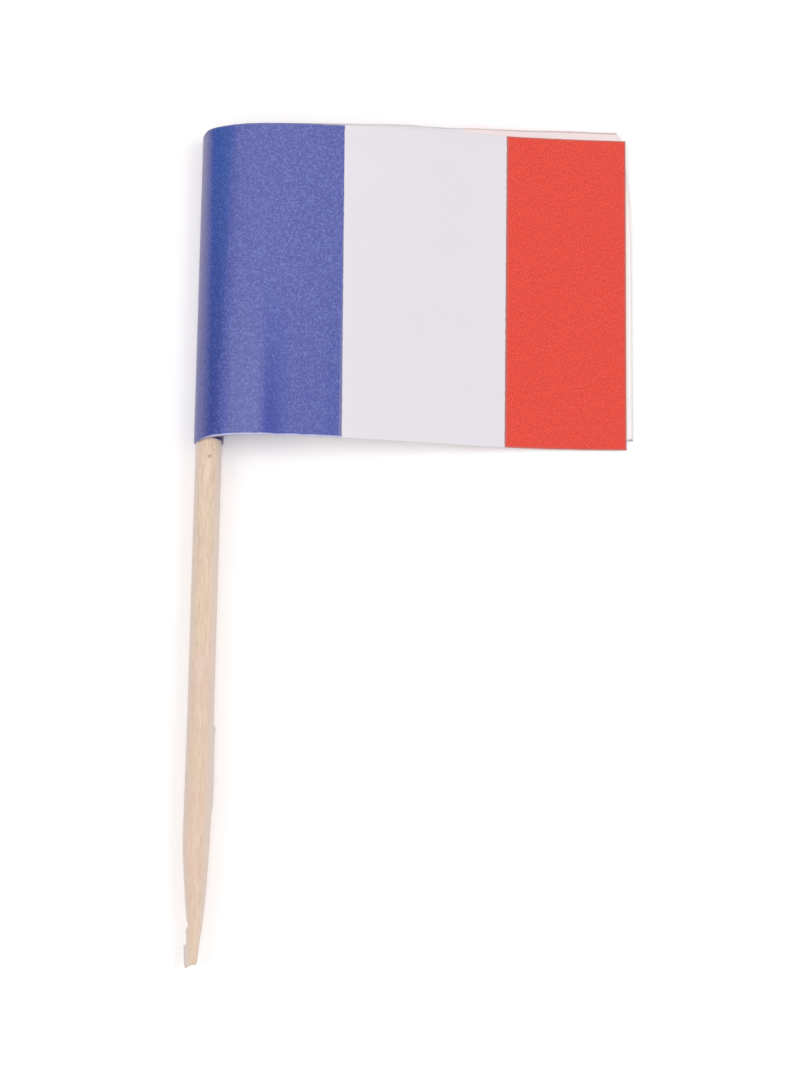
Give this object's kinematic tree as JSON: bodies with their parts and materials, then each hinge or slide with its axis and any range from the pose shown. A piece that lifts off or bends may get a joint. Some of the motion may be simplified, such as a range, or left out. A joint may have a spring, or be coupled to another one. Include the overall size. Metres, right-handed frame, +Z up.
{
  "type": "flag toothpick",
  "caption": "Round wooden toothpick with a striped paper flag folded round its top and glued to itself.",
  "frame": {"origin": "on the table under the middle of the object's box", "axes": "+Y along the pick from its point towards the flag, +X along the flag from the fold to its free end, +Z up from the table"},
  "size_m": [0.033, 0.0657, 0.0032],
  "materials": {
    "wood": "bare birch with fine lengthwise grain",
    "paper": "thin white paper, printed in stripes of blue and red ink"
  },
  "bodies": {
    "root": {"toothpick": "wood", "flag_paper": "paper"}
  },
  "joints": []
}
